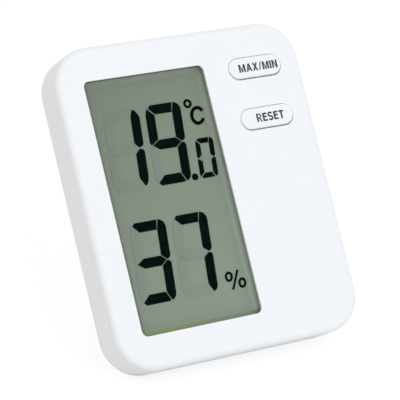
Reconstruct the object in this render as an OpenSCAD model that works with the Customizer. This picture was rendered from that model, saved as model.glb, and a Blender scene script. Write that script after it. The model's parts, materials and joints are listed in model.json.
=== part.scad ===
/* [Case] */
// Width of the case
case_w = 88; // [80:0.5:96]
// Height of the case
case_h = 105; // [104.5:0.5:112]
// Depth of the case, from its front face to its back face
case_d = 16; // [16:0.2:18]
// Radius of the four corners, seen from the front
corner_r = 13; // [12:0.5:15]
// Rounding of the front edge
front_round = 2; // [1:0.1:2.4]
// Rounding of the back edge
back_round = 3; // [2:0.1:3]
// Thickness of the side walls
side_wall = 2; // [1.6:0.1:2.2]
// Thickness of the front wall
front_wall = 2; // [1.8:0.1:2.2]
// Thickness of the back wall
back_wall = 1.8; // [1.6:0.1:2]
// Depth of the back half, from the seam to the back face
back_half_d = 3; // [3:0.1:3.6]
// Angle by which the case leans back on its open stand
lean_angle = 29.27; // [22:0.5:36]

/* [Seam] */
// Thickness of the locating lip on the back half
lip_t = 0.9; // [0.7:0.1:1.2]
// Reach of the lip into the front half
lip_reach = 1.4; // [0.8:0.1:2]
// Clearance between the lip and the front half
lip_gap = 0.15; // [0.1:0.05:0.3]

/* [Display window] */
// Distance from the left side of the case to the opening
window_left = 9.1; // [8.7:0.1:10]
// Distance from the top of the case to the opening
window_top = 11.3; // [10.5:0.1:13]
// Distance from the bottom of the case to the opening
window_bottom = 10.9; // [10.5:0.1:13]
// Corner radius of the opening
window_r = 2; // [1:0.1:4]
// Depth of the pane's face below the front of the case
window_recess = 0.7; // [0.4:0.1:1]
// Reach of the pane behind the edge of the opening
pane_margin = 1.5; // [1:0.1:2]
// Clearance around the pane
pane_gap = 0.15; // [0.1:0.05:0.3]

/* [Liquid crystal display] */
// Reach of the glass behind the edge of the opening
glass_margin = 2.6; // [2.2:0.1:2.8]
// Width of the contact ledge on the front glass
contact_ledge = 3; // [2.8:0.1:3.6]
// Thickness of each glass
glass_t = 0.7; // [0.5:0.1:0.9]
// Thickness of the front polariser
polariser_t = 0.2; // [0.1:0.05:0.3]
// Thickness of the back polariser with its reflector
reflector_t = 0.3; // [0.2:0.05:0.4]
// Thickness of the segment layer between the glasses
segment_t = 0.1; // [0.05:0.05:0.15]
// Depth of the holder frame behind the glass
holder_d = 2.2; // [1.8:0.1:2.6]
// Width of the holder frame's bars
holder_bar = 5; // [3:0.5:8]
// Clearance between the glass and the ribs round it
glass_gap = 0.2; // [0.1:0.05:0.3]
// Thickness of the ribs round the glass
rib_t = 0.8; // [0.6:0.1:1]
// Height of the ribs round the glass
rib_h = 1.4; // [0.8:0.1:1.6]
// Thickness of the conductive rubber strip
strip_t = 2; // [1.4:0.1:2.2]
// Distance from each end of the rubber strip to the end of the glass
strip_end = 6.1; // [2:0.1:12]

/* [Digits] */
// Distance from the left side of the opening to the tens
digits_left = 4.25; // [4:0.05:6]
// Distance from the small digit to the right side of the opening
digits_right = 1.7; // [1.3:0.1:2]
// Gap between the two large digits of a row
digit_gap = 2.2; // [1.8:0.1:3]
// Gap between the units and the small digit
small_gap = 2.65; // [2.3:0.05:3.5]
// Distance from the top of the opening to the upper row
upper_row_top = 10.1; // [8:0.1:12]
// Distance from the bottom of the opening to the lower row
lower_row_bottom = 9.75; // [8:0.05:12]
// Gap between the two rows
row_gap = 10.35; // [8:0.05:14]
// Stroke of the large digits
digit_stroke = 3.2; // [2:0.1:3.6]
// Height of the small digit
small_digit_h = 13.1; // [10:0.1:14]
// Width of the small digit
small_digit_w = 6.6; // [5:0.1:6.9]
// Stroke of the small digit
small_stroke = 1.7; // [1:0.05:1.9]
// Gap between neighbouring segments
segment_gap = 0.34; // [0.2:0.02:0.5]
// Slant of the digits
slant = 5; // [0:0.5:8]
// Radius of the decimal point
point_r = 1.15; // [0.8:0.05:1.3]
// Tens of the temperature shown
temperature_tens = 1; // [0:1:9]
// Units of the temperature shown
temperature_units = 9; // [0:1:9]
// Tenths of the temperature shown
temperature_tenths = 0; // [0:1:9]
// Tens of the humidity shown
humidity_tens = 3; // [0:1:9]
// Units of the humidity shown
humidity_units = 7; // [0:1:9]

/* [Buttons] */
// Width of each cap
cap_w = 19.4; // [17:0.1:19.8]
// Height of each cap
cap_h = 6.9; // [6:0.1:7.4]
// Height of the caps above the front face
cap_rise = 0.6; // [0.3:0.1:1]
// Rounding of the caps' front edge
cap_round = 0.7; // [0.4:0.1:1]
// Clearance between a cap and its hole
cap_gap = 0.15; // [0.1:0.05:0.3]
// Clearance below a cap, where its hole reaches lower
cap_lower_gap = 0.45; // [0.2:0.05:0.6]
// Reach of a cap's flange behind the front wall
flange_reach = 0.9; // [0.7:0.1:1]
// Thickness of a cap's flange
flange_t = 0.8; // [0.6:0.1:1]
// Running gap between the flange and the front wall
flange_gap = 0.1; // [0.05:0.05:0.2]
// Gap between the caps' flanges and the ribs round the glass
cap_rib_gap = 1.5; // [1:0.1:2]
// Radius of the plunger
plunger_r = 1.8; // [1.4:0.1:2.2]
// Distance from the right side of the case to the caps' centre
cap_inset = 17.2; // [16.8:0.1:17.6]
// Distance from the top of the case to the upper cap's centre
cap_top = 14.5; // [14.3:0.1:15.5]
// Distance from one cap to the next
cap_pitch = 17.1; // [16:0.1:18]
// Travel of a cap when it is pressed
cap_travel = 0.8; // [0.5:0.1:1]
// Radius of the key pads' base
pad_r = 3.6; // [3:0.1:4]
// Thickness of the key pads' base
pad_base_t = 0.6; // [0.4:0.1:0.8]

/* [Main board] */
// Thickness of the board
board_t = 1.2; // [0.8:0.1:1.6]
// Distance from the left side of the case to the board
board_left = 2.6; // [2.4:0.1:2.9]
// Distance from the top of the case to the board
board_top = 8.6; // [8.5:0.1:9.5]
// Distance from the bottom of the case to the board
board_bottom = 9; // [8.8:0.1:11]
// Corner radius of the board
board_r = 4; // [3:0.5:5]
// Gap between the battery bay and the wing behind the buttons
wing_bay_gap = 2.6; // [1:0.1:4]
// Drop of the wing's top below the board's top
wing_drop = 1.2; // [1.1:0.1:2]
// Drop of the middle right board post below the upper end of the battery bay
lug_post_drop = 5.8; // [5.8:0.1:6]
// Radius of the board posts
board_post_r = 1.7; // [1.5:0.1:1.8]
// Radius of the board screws' shanks
board_screw_r = 0.8; // [0.7:0.05:0.9]
// Radius of the board screws' heads
board_head_r = 1.5; // [1.3:0.1:1.6]
// Height of the board screws' heads
board_head_h = 0.9; // [0.7:0.1:1.2]
// Length of the board screws' shanks below the board's back
board_screw_l = 4; // [3:0.2:5]
// Clearance round a screw in its hole
screw_gap = 0.05; // [0.05:0.05:0.1]
// Radius of the black cap over the chip
blob_r = 6.5; // [5:0.5:8]
// Height of the black cap over the chip
blob_h = 1.6; // [1.2:0.1:2]
// Length of the quartz crystal's can
crystal_l = 6; // [5:0.2:8]
// Radius of the quartz crystal's can
crystal_r = 1; // [0.8:0.1:1.5]
// Radius of the round capacitor
capacitor_r = 2; // [1.5:0.1:2.5]
// Height of the round capacitor
capacitor_h = 4; // [3:0.1:4.5]
// Width of the humidity sensor's housing
sensor_w = 11; // [9:0.5:12]
// Height of the humidity sensor's housing
sensor_h = 8; // [7:0.5:9]
// Thickness of the humidity sensor's housing
sensor_t = 3; // [2.4:0.2:4]
// Radius of the thermistor's bead
bead_r = 1.1; // [0.8:0.1:1.4]

/* [Case screws] */
// Radius of the screws' shanks
case_screw_r = 1.1; // [1:0.05:1.25]
// Radius of the screws' heads
case_head_r = 2; // [1.8:0.1:2.1]
// Height of the screws' heads
case_head_h = 1.5; // [1.2:0.1:1.6]
// Length of the screws' shanks
case_screw_l = 8.5; // [7:0.5:10]
// Clearance round the heads
head_gap = 0.3; // [0.2:0.05:0.4]
// Radius of the screw posts
post_r = 2.6; // [2.3:0.1:2.7]
// Distance of the left posts from the top and bottom of the case
left_post_edge = 5.3; // [5.2:0.1:5.4]
// Gap between the left posts and the walls of the stand's recess
left_post_gap = 5.4; // [2:0.1:8]
// Gap between the lower right post and the battery bay
lower_post_gap = 0.75; // [0.5:0.05:1]
// Distance of the lower right post from the bottom of the case
lower_post_edge = 9; // [8:0.5:11]
// Distance of the upper right post from the right side of the case
upper_post_inset = 10; // [9:0.5:13]
// Distance of the upper right post from the top of the case
upper_post_edge = 6.7; // [6.4:0.1:6.8]

/* [Battery] */
// Length of the cell over its button
cell_l = 44.5; // [43.5:0.1:44.5]
// Radius of the cell
cell_r = 5.25; // [5:0.05:5.25]
// Height of the cell's button
cell_button_h = 0.8; // [0.8:0.1:1.2]
// Radius of the cell's button
cell_button_r = 1.9; // [1.6:0.1:1.9]
// Gap between the battery bay and the board posts beside it
bay_post_gap = 1.25; // [1.2:0.05:1.5]
// Distance from the bottom of the case to the inside of the bay
bay_bottom = 7.5; // [7.4:0.1:8]
// Clearance at each side of the cell
bay_gap = 0.5; // [0.3:0.05:0.6]
// Thickness of the bay's walls
bay_wall = 1.2; // [1:0.1:1.3]
// Thickness of the bay's floor
bay_floor = 0.9; // [0.8:0.1:1.1]
// Thickness of the contact plates
contact_t = 0.5; // [0.3:0.05:0.6]
// Height of the fitted spring
spring_h = 5.2; // [4.6:0.1:6]
// Radius of the spring's wire
spring_wire_r = 0.35; // [0.3:0.05:0.4]
// Turns of the spring
spring_turns = 4; // [3:1:5]
// Radius of the spring where it stands on its plate
spring_foot_r = 3.9; // [3.4:0.1:4.2]
// Radius of the spring where it meets the cell
spring_top_r = 2.2; // [1.8:0.1:2.6]
// Radius of the insulated leads
lead_r = 0.6; // [0.4:0.05:0.7]

/* [Battery cover] */
// Width of the cover
cover_w = 14.6; // [14:0.1:15]
// Thickness of the cover
cover_t = 1.6; // [1.4:0.1:1.7]
// Distance from the bottom of the case to the cover
cover_bottom = 4.6; // [4.4:0.1:4.8]
// Gap round the cover
cover_gap = 0.25; // [0.2:0.05:0.35]
// Clearance between the cell and the cover
cell_play = 0.4; // [0.3:0.05:0.5]
// Thickness of the ledge that the cover lies on
ledge_t = 1.2; // [1:0.1:1.4]
// Width of each toe
toe_w = 3; // [2:0.1:4]
// Distance from one toe to the other
toe_pitch = 8; // [6.5:0.1:9]
// Width of the latch
latch_w = 7; // [5:0.1:8]
// Height of the latch
latch_h = 4.8; // [4.6:0.1:5]
// Gap between the latch and the upper wall of the bay
latch_bay_gap = 0.6; // [0.5:0.1:1]
// Thickness of the latch's spring
latch_t = 0.8; // [0.6:0.1:0.9]
// Angle through which the cover swings before it lifts off
cover_swing = 35; // [20:1:40]

/* [Stand] */
// Width of the leg
leg_w = 30; // [20:0.5:30]
// Thickness of the leg
leg_t = 2.4; // [2:0.1:2.6]
// Length of the leg from its pivot to the middle of its rounded foot
leg_l = 40; // [36:0.2:42]
// Distance from the bottom of the case to the leg's recess
recess_bottom_z = 4.5; // [4.2:0.1:5.5]
// Depth of the pivot below the back face
pivot_depth = 1.8; // [1.7:0.05:2]
// Radius of the pivot pins
pin_r = 1.1; // [0.9:0.05:1.2]
// Length of each pivot pin
pin_l = 1.3; // [1:0.1:1.4]
// Radial clearance of the pins in their holes
pin_gap = 0.05; // [0.02:0.01:0.1]
// Clearance round the leg in its recess
leg_gap = 0.3; // [0.2:0.05:0.4]
// Gap between the walls of the recess and the battery bay
leg_bay_gap = 1.45; // [1:0.05:2]
// Length of the heel above the pivot
heel_l = 2.4; // [2:0.1:2.6]
// Gap between the heel and its stop when the stand is open
stop_gap = 0.05; // [0.02:0.01:0.1]
// Thickness of the recess walls
recess_wall = 1.8; // [1.5:0.1:2]
// Thickness of the recess floor
recess_floor = 1.2; // [1:0.1:1.5]
// Radius of the finger notch in the foot
notch_r = 4.5; // [3:0.5:5]

/* [Back] */
// Radius of the keyhole's entry
keyhole_r = 4; // [3.5:0.1:4.5]
// Radius of the keyhole's slot
keyhole_slot_r = 2; // [1.5:0.1:2.2]
// Height of the keyhole's slot above the entry's centre
keyhole_rise = 6; // [5:0.5:7]
// Distance from the top of the case to the keyhole's entry
keyhole_top = 19; // [17:0.5:24]
// Number of vent slots
vent_count = 5; // [3:1:5]
// Length of each vent slot
vent_l = 14; // [8:0.5:16]
// Width of each vent slot
vent_w = 1.2; // [0.8:0.1:1.4]
// Distance from one vent slot to the next
vent_pitch = 2.4; // [2.2:0.1:2.6]

/* [Hidden] */
$fn = 64;
// Overshoot of each cut past the face that it opens
cut = 1;
// Depth by which joined solids of one piece reach into each other
weld = 0.2;
// Clearance between two solids that are set face to face with a little play
play = 0.1;
// Free space round something that passes another piece
room = 0.3;

half_w = case_w / 2;
seam_y = case_d - back_half_d;
back_in_y = case_d - back_wall;
inner_r = corner_r - side_wall;

// Window, whose right side keeps the glass and the ribs round it clear of the buttons
cap_x = half_w - cap_inset;
rib_right_x = cap_x - cap_w / 2 - flange_reach - cap_rib_gap;
glass_right_x = rib_right_x - rib_t - glass_gap;
window_right_x = glass_right_x - contact_ledge - glass_margin;
window_left_x = window_left - half_w;
window_w = window_right_x - window_left_x;
window_h = case_h - window_top - window_bottom;
window_x = (window_left_x + window_right_x) / 2;
window_z = window_bottom + window_h / 2;

// Stack of layers behind the window
pane_t = front_wall - window_recess;
glass_w = window_w + 2 * glass_margin;
glass_h = window_h + 2 * glass_margin;
front_glass_y = front_wall + polariser_t;
segment_y = front_glass_y + glass_t;
back_glass_y = segment_y + segment_t;
reflector_y = back_glass_y + glass_t;
holder_y = reflector_y + reflector_t;
board_y = holder_y + holder_d;
board_back_y = board_y + board_t;
strip_x = glass_right_x - contact_ledge / 2;
strip_l = glass_h - 2 * strip_end;

// Digits, in the window's own frame: columns and rows are the strokes' centre lines
digits_w = window_w - digits_left - digits_right;
digit_w = (digits_w - small_digit_w - small_gap - digit_gap) / 2;
digit_h = (window_h - upper_row_top - lower_row_bottom - row_gap) / 2;
tens_x = digits_left + digit_w / 2 - window_w / 2;
units_x = tens_x + digit_w + digit_gap;
small_x = window_w / 2 - digits_right - small_digit_w / 2;
upper_row = window_h / 2 - upper_row_top - digit_h / 2;
lower_row = window_h / 2 - lower_row_bottom - digit_h / 2;
small_z = upper_row - (digit_h - small_digit_h) / 2;
point_x = units_x + digit_w / 2 + 0.25;
point_z = upper_row - digit_h / 2 + point_r - 0.2;
ALL_SEGMENTS = ["a", "b", "c", "d", "e", "f", "g"];
SEGMENTS_OF = [
    ["a", "b", "c", "d", "e", "f"],
    ["b", "c"],
    ["a", "b", "d", "e", "g"],
    ["a", "b", "c", "d", "g"],
    ["b", "c", "f", "g"],
    ["a", "c", "d", "f", "g"],
    ["a", "c", "d", "e", "f", "g"],
    ["a", "b", "c"],
    ["a", "b", "c", "d", "e", "f", "g"],
    ["a", "b", "c", "d", "f", "g"]
];

// Degree ring and letter of the temperature's unit, and the percent sign, placed from the
// window's right side, the top of the upper row and the foot of the lower row
signs_x = window_w / 2;
upper_row_z = window_h / 2 - upper_row_top;
lower_row_z = lower_row_bottom - window_h / 2;
degree_ring_r = 1.5;
degree_hole_r = 0.68;
degree_x = signs_x - 7.15;
degree_z = upper_row_z - 1.35;
unit_x = signs_x - 4.55;
unit_z = upper_row_z - 5.65;
unit_half_w = 2.7;
unit_half_h = 3.15;
unit_stroke = 1.15;
unit_mouth = 26;
unit_inner_mouth = 30;
percent_ring_x = 1.45;
percent_ring_z = 1.7;
percent_stroke = 0.82;
percent_left = [signs_x - 7.4, lower_row_z + 3.85];
percent_right = [signs_x - 3.15, lower_row_z + 1.15];
percent_bar_foot = [signs_x - 6.95, lower_row_z - 0.5];
percent_bar_top = [signs_x - 3.8, lower_row_z + 5.55];

// Buttons
upper_cap_z = case_h - cap_top;
lower_cap_z = upper_cap_z - cap_pitch;
cap_hole_h = cap_h + cap_gap + cap_lower_gap;
cap_hole_shift = (cap_gap - cap_lower_gap) / 2;
flange_y = front_wall + flange_gap;
plunger_l = cap_travel + flange_gap;
plunger_y = flange_y + flange_t;
pad_tip_y = plunger_y + plunger_l + flange_gap;

// Battery bay and cover
right_post_x = rib_right_x - rib_t + board_post_r;
bay_half_w = cell_r + bay_gap;
bay_left_x = right_post_x + board_post_r + bay_post_gap;
cell_x = bay_left_x + bay_wall + bay_half_w;
bay_right_x = cell_x + bay_half_w + bay_wall;
cover_y = case_d - cover_t;
cell_y = cover_y - cell_play - cell_r;
bay_floor_y = cell_y - cell_r - 2 * play;
bay_front_y = bay_floor_y - bay_floor;
bay_l = cell_l + spring_h + 2 * contact_t;
bay_top_z = bay_bottom + bay_l;
cell_z = bay_bottom + contact_t + spring_h;
ledge_y = cover_y - play / 2 - ledge_t;
ledge_side = 1.3;
ledge_end = 1.6;
latch_z = bay_top_z + bay_wall + latch_bay_gap;
cover_top_z = latch_z + latch_h;
cover_h = cover_top_z - cover_bottom;
latch_back_y = cover_y - 2.4;
latch_stroke = 1.2;
latch_hook = 0.9;
latch_pad = 1;
plate_w = 9;
plate_h = 8.4;
lug_y = board_back_y + 1.2;
lug_w = 2.6;
lug_reach = 1.1;
lug_x = bay_left_x - lug_reach / 2;
lead_rise = 2.2;
lead_in = 2.2;
lead_start = 4;
lead_drop = 9;
spring_steps = 12;

// Cover pivot: the middle of the cover's rounded lower edge
cover_pivot_y = cover_y + cover_t / 2;
cover_pivot_z = cover_bottom + cover_t / 2;
toe_t = 0.8;
toe_reach = 1.4;
toe_root = 1.2;
toe_y = cover_y - 1.2;
toe_depth = cover_pivot_y - toe_y;
toe_slot_y = cover_pivot_y - norm([toe_depth, toe_reach + cover_t / 2]) - 2 * play;
toe_slot_z = cover_bottom - toe_reach - room;
toe_lift = toe_depth * sin(cover_swing) + (toe_root - cover_t / 2) * cos(cover_swing);
toe_slot_top = cover_pivot_z + toe_lift + room;

// Board
board_left_x = board_left - half_w;
board_top_z = case_h - board_top;
wing_right_x = half_w - board_left;
wing_top_z = board_top_z - wing_drop;
wing_h = wing_top_z - bay_top_z - bay_wall - wing_bay_gap;
board_right_x = bay_left_x - 3 * room;
left_post_x = side_wall + weld + board_post_r - half_w;
between_caps_z = (upper_cap_z + lower_cap_z) / 2;
BOARD_POSTS = [
    [left_post_x, window_z - window_h / 3],
    [left_post_x, window_z + window_h / 3],
    [right_post_x, window_z - window_h / 3],
    [right_post_x, bay_top_z - lug_post_drop],
    [cap_x, between_caps_z]
];

// Places of the parts on the board, to the right of the window's centre and above it
chip_at = [0, 14];
blob_ball_r = (blob_r * blob_r + blob_h * blob_h) / (2 * blob_h);
crystal_at = [-10, 26];
capacitor_at = [glass_w / 2 - 6.1, 10];
upper_chips_at = [-12, 36];
lower_chips_at = [glass_w / 2 - 10.1, -4];
chip_step = 4;
// Surface-mounted parts: length, width and thickness
chip_l = 1.6;
chip_w = 0.8;
chip_t = 0.6;
// Humidity sensor, behind the vents and above the screw between the buttons, and the thermistor beside it
sensor_z = between_caps_z + 7;
sensor_slot_h = 0.8;
vents_z = sensor_z - (vent_count - 1) * vent_pitch / 2;
sensor_slot_pitch = 2;
sensor_rim = 1.5;
bead_x = cap_x + sensor_w / 2 + 4;
bead_y = board_back_y + 3.6;
bead_leg_pitch = 1.2;
bead_leg_r = 0.25;

// Stand
pivot_y = case_d - pivot_depth;
foot_r = leg_t / 2;
recess_half_w = leg_w / 2 + leg_gap;
leg_x = bay_left_x - leg_bay_gap - recess_wall - recess_half_w;
recess_floor_y = pivot_y - leg_t / 2 - leg_gap;
pivot_z = recess_bottom_z + leg_gap + foot_r + leg_l;
heel_sweep_r = norm([heel_l, leg_t / 2]) + 2 * play;
scoop_d = 0.6;

// Case screws
back_post_wall = 1.2;
back_post_r = case_head_r + head_gap + back_post_wall;
screw_hole_gap = 0.15;
left_case_post_x = leg_x - recess_half_w - recess_wall - left_post_gap - back_post_r;
CASE_POSTS = [
    [left_case_post_x, left_post_edge],
    [left_case_post_x, case_h - left_post_edge],
    [bay_right_x + lower_post_gap + back_post_r, lower_post_edge],
    [half_w - upper_post_inset, case_h - upper_post_edge]
];

// Lean of the case: where the rounded lower back edge and the open foot both touch the table
lean_s = sin(lean_angle);
lean_c = cos(lean_angle);
table_z = -(case_d - back_round) * lean_s + back_round * lean_c - back_round;
pivot_above_table = pivot_z * lean_c - pivot_y * lean_s - table_z;
stand_swing = lean_angle + acos((pivot_above_table - foot_r) / leg_l);
front_most_y = front_round * (lean_c + lean_s) - front_round;
back_most_y = (case_d - back_round) * lean_c + (case_h - back_round) * lean_s + back_round;
middle_y = (front_most_y + back_most_y) / 2;

// Places a piece drawn in the upright case where the leaning case holds it
module leaning()
    translate([0, -middle_y, -table_z])
        rotate([-lean_angle, 0, 0])
            children();

// Extrudes a front view, drawn as X and Z, from depth y by d
module slice(y, d)
    translate([0, y + d, 0])
        rotate([90, 0, 0])
            linear_extrude(d)
                children();

// Extrudes a side view, drawn as Y and Z, over width w about x
module side_slice(x, w)
    translate([x - w / 2, 0, 0])
        rotate([90, 0, 90])
            linear_extrude(w)
                children();

// Straight round bar from the front to the back
module bar_y(x, y, z, r, l)
    translate([x, y + l, z])
        rotate([90, 0, 0])
            cylinder(r = r, h = l);

// Box given by its low corner and its size
module block(low, size)
    translate(low)
        cube(size);

// Rectangle with round corners about a centre
module round_rect(x, z, w, h, r)
    translate([x, z]) {
        if (w > 2 * r)
            square([w - 2 * r, h], center = true);
        if (h > 2 * r)
            square([w, h - 2 * r], center = true);
        for (sx = [-1, 1], sz = [-1, 1])
            translate([sx * (w / 2 - r), sz * (h / 2 - r)])
                circle(r);
    }

// Half of an edge profile: X is the distance from the axis, Y the depth from the front
module half_edge(r, d, front_f, back_f) {
    square([r - max(front_f, back_f), d]);
    if (d > front_f + back_f)
        translate([0, front_f])
            square([r, d - front_f - back_f]);
    if (front_f > 0) {
        square([r - front_f, front_f]);
        translate([r - front_f, front_f])
            circle(front_f);
    }
    if (back_f > 0) {
        translate([0, d - back_f])
            square([r - back_f, back_f]);
        translate([r - back_f, d - back_f])
            intersection() {
                circle(back_f);
                translate([-back_f, 0])
                    square([2 * back_f, back_f]);
            }
    }
}

// Whole edge profile, both sides
module edge_profile(w, d, front_f, back_f) {
    half_edge(w / 2, d, front_f, back_f);
    mirror([1, 0])
        half_edge(w / 2, d, front_f, back_f);
}

// Slab with round corners and rounded front and back edges, centred on x and z
module rounded_slab(x, z, w, h, y, d, r, front_f, back_f)
    translate([x, y, z]) {
        if (h > 2 * r)
            translate([0, 0, -(h / 2 - r)])
                linear_extrude(h - 2 * r)
                    edge_profile(w, d, front_f, back_f);
        translate([-(w / 2 - r), 0, 0])
            rotate([90, 0, 90])
                linear_extrude(w - 2 * r)
                    rotate(90)
                        mirror([0, 1])
                            edge_profile(h, d, front_f, back_f);
        for (sx = [-1, 1], sz = [-1, 1])
            translate([sx * (w / 2 - r), d, sz * (h / 2 - r)])
                rotate([90, 0, 0])
                    rotate_extrude()
                        translate([0, d])
                            mirror([0, 1])
                                half_edge(r, d, front_f, back_f);
    }

// Tube swept along points, as one closed solid
function unit(v) = v / norm(v);
function tangent(path, i) =
    unit(path[min(i + 1, len(path) - 1)] - path[max(i - 1, 0)]);
module tube(path, r, sides, up) {
    rings = len(path);
    points = [
        for (i = [0 : rings - 1])
            let (
                t = tangent(path, i),
                across = unit(cross(t, up)),
                over = cross(across, t)
            )
            for (k = [0 : sides - 1])
                let (a = 360 * k / sides)
                path[i] + r * (cos(a) * across + sin(a) * over)
    ];
    walls = [
        for (i = [0 : rings - 2], k = [0 : sides - 1])
            let (a = i * sides + k, b = i * sides + (k + 1) % sides)
            each [[a, b, a + sides], [b, b + sides, a + sides]]
    ];
    first_end = [for (k = [1 : sides - 2]) [0, k + 1, k]];
    base = (rings - 1) * sides;
    last_end = [for (k = [1 : sides - 2]) [base, base + k, base + k + 1]];
    polyhedron(points, concat(walls, first_end, last_end));
}

// Smooth route from a to d, leaving towards b and arriving from c
function bend(a, b, c, d, steps) = [
    for (i = [0 : steps])
        let (t = i / steps, s = 1 - t)
        s * s * s * a + 3 * s * s * t * b + 3 * s * t * t * c + t * t * t * d
];

// Front half of the case: a deep tray with the window and the two button holes
module front_case() color("white") leaning() {
    difference() {
        rounded_slab(0, case_h / 2, case_w, case_h, 0, seam_y, corner_r, front_round, 0);
        slice(front_wall, seam_y)
            round_rect(0, case_h / 2, case_w - 2 * side_wall, case_h - 2 * side_wall, inner_r);
        slice(-cut, front_wall + 2 * cut)
            round_rect(window_x, window_z, window_w, window_h, window_r);
        slice(window_recess, front_wall)
            round_rect(window_x, window_z, window_w + 2 * (pane_margin + pane_gap),
                window_h + 2 * (pane_margin + pane_gap), window_r);
        for (z = [upper_cap_z, lower_cap_z])
            slice(-cut, front_wall + 2 * cut)
                round_rect(cap_x, z + cap_hole_shift, cap_w + 2 * cap_gap, cap_hole_h, cap_hole_h / 2);
    }
    // Ribs that frame the glass
    difference() {
        slice(front_wall - weld, rib_h + weld)
            glass_outline(glass_gap + rib_t);
        slice(front_wall - cut, rib_h + 2 * cut)
            glass_outline(glass_gap);
    }
    // Posts for the case screws and the board screws
    for (p = CASE_POSTS)
        difference() {
            bar_y(p[0], front_wall - weld, p[1], post_r, seam_y - front_wall + weld);
            bar_y(p[0], back_in_y - case_screw_l - cut, p[1], case_screw_r + screw_gap, case_screw_l + cut);
        }
    for (p = BOARD_POSTS)
        difference() {
            bar_y(p[0], front_wall - weld, p[1], board_post_r, board_y - front_wall + weld);
            bar_y(p[0], board_back_y - board_screw_l - play, p[1], board_screw_r + screw_gap, board_screw_l);
        }
}

// Outline of the front glass grown by m on every side
module glass_outline(m)
    translate([window_x - glass_w / 2 - m, window_z - glass_h / 2 - m])
        square([glass_w + contact_ledge + 2 * m, glass_h + 2 * m]);

// Back half of the case: a shallow cover with the bay, the recess, the keyhole and the vents
module rear_case() color("white") leaning()
    difference() {
        union() {
            difference() {
                rounded_slab(0, case_h / 2, case_w, case_h, seam_y, back_half_d, corner_r, 0, back_round);
                slice(seam_y - cut, back_in_y - seam_y + cut)
                    round_rect(0, case_h / 2, case_w - 2 * side_wall, case_h - 2 * side_wall, inner_r);
            }
            seam_lip();
            // Bay that the cell lies in
            block([bay_left_x, bay_front_y, bay_bottom - bay_wall],
                [2 * (bay_half_w + bay_wall), ledge_y + ledge_t - bay_front_y, bay_l + 2 * bay_wall]);
            // Ledge that the cover lies on
            block([cell_x - cover_w / 2 - ledge_side, ledge_y, cover_bottom - ledge_end],
                [cover_w + 2 * ledge_side, back_in_y - ledge_y + weld, cover_h + 2 * ledge_end]);
            // Walls and floor of the recess that the stand folds into
            recess_box(recess_floor_y - recess_floor, recess_bottom_z - recess_wall);
            recess_box(pivot_y - heel_sweep_r - recess_floor, pivot_z - heel_sweep_r - recess_wall);
            for (p = CASE_POSTS)
                bar_y(p[0], seam_y, p[1], back_post_r, back_in_y - seam_y + weld);
        }
        bay_cuts();
        translate([leg_x, 0, 0])
            recess_cuts();
        for (p = CASE_POSTS) {
            bar_y(p[0], seam_y - cut, p[1], case_screw_r + screw_hole_gap, case_d - seam_y + 2 * cut);
            bar_y(p[0], back_in_y, p[1], case_head_r + head_gap, back_wall + cut);
        }
        keyhole_cut();
        for (i = [0 : vent_count - 1])
            slice(back_in_y - cut, back_wall + 2 * cut)
                round_rect(cap_x, vents_z + i * vent_pitch, vent_l, vent_w, vent_w / 2);
    }

// Solid box round the recess, from depth y and height z to the back wall and past the pivot
module recess_box(y, z)
    block([leg_x - recess_half_w - recess_wall, y, z],
        [2 * (recess_half_w + recess_wall), back_in_y - y + weld,
            pivot_z + heel_sweep_r + recess_wall - z]);

// Lip on the back half that locates it in the front half, open at the screw posts
module seam_lip()
    difference() {
        slice(seam_y - lip_reach, lip_reach + weld)
            round_rect(0, case_h / 2, case_w - 2 * (side_wall + lip_gap),
                case_h - 2 * (side_wall + lip_gap), inner_r - lip_gap);
        slice(seam_y - lip_reach - cut, lip_reach + weld + 2 * cut)
            round_rect(0, case_h / 2, case_w - 2 * (side_wall + lip_gap + lip_t),
                case_h - 2 * (side_wall + lip_gap + lip_t), inner_r - lip_gap - lip_t);
        for (p = CASE_POSTS)
            bar_y(p[0], seam_y - lip_reach - cut, p[1], post_r + room, lip_reach + cut);
    }

// Everything that is cut away for the cell, its contacts, the cover, its toes and its latch
module bay_cuts() {
    block([cell_x - bay_half_w, bay_floor_y, bay_bottom], [2 * bay_half_w, case_d, bay_l]);
    block([cell_x - cover_w / 2 - cover_gap, ledge_y + ledge_t, cover_bottom - cover_gap],
        [cover_w + 2 * cover_gap, cover_t + cut, cover_h + 2 * cover_gap]);
    // Slots that the toes turn in, open to the cover above its lower edge
    for (s = [-1, 1]) {
        toe_slot(s, back_in_y, toe_slot_z);
        toe_slot(s, cover_y, cover_bottom - cover_gap);
    }
    // Pocket behind the latch, open upwards for its hook, and the pocket's mouth under the cover
    block([cell_x - latch_w / 2 - room, latch_back_y - room, latch_z - play],
        [latch_w + 2 * room, back_in_y - latch_back_y + room, latch_h + ledge_end + cut]);
    block([cell_x - latch_w / 2 - room, back_in_y - cut, latch_z - play],
        [latch_w + 2 * room, cover_y - back_in_y + cut, latch_h + play + cover_gap]);
    // Slots that the contacts' lugs pass through
    for (z = [bay_bottom, bay_top_z - contact_t])
        block([bay_left_x - cut, lug_y - play, z - (z > cell_z ? play : 0)],
            [bay_wall + cut + weld, lug_w + 2 * play, contact_t + play]);
}

// Slot for one toe, as deep as y at its outer side and from height z up
module toe_slot(s, y, z)
    block([cell_x + s * toe_pitch / 2 - toe_w / 2 - cover_gap, toe_slot_y, z],
        [toe_w + 2 * cover_gap, y - toe_slot_y, toe_slot_top - z]);

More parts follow.
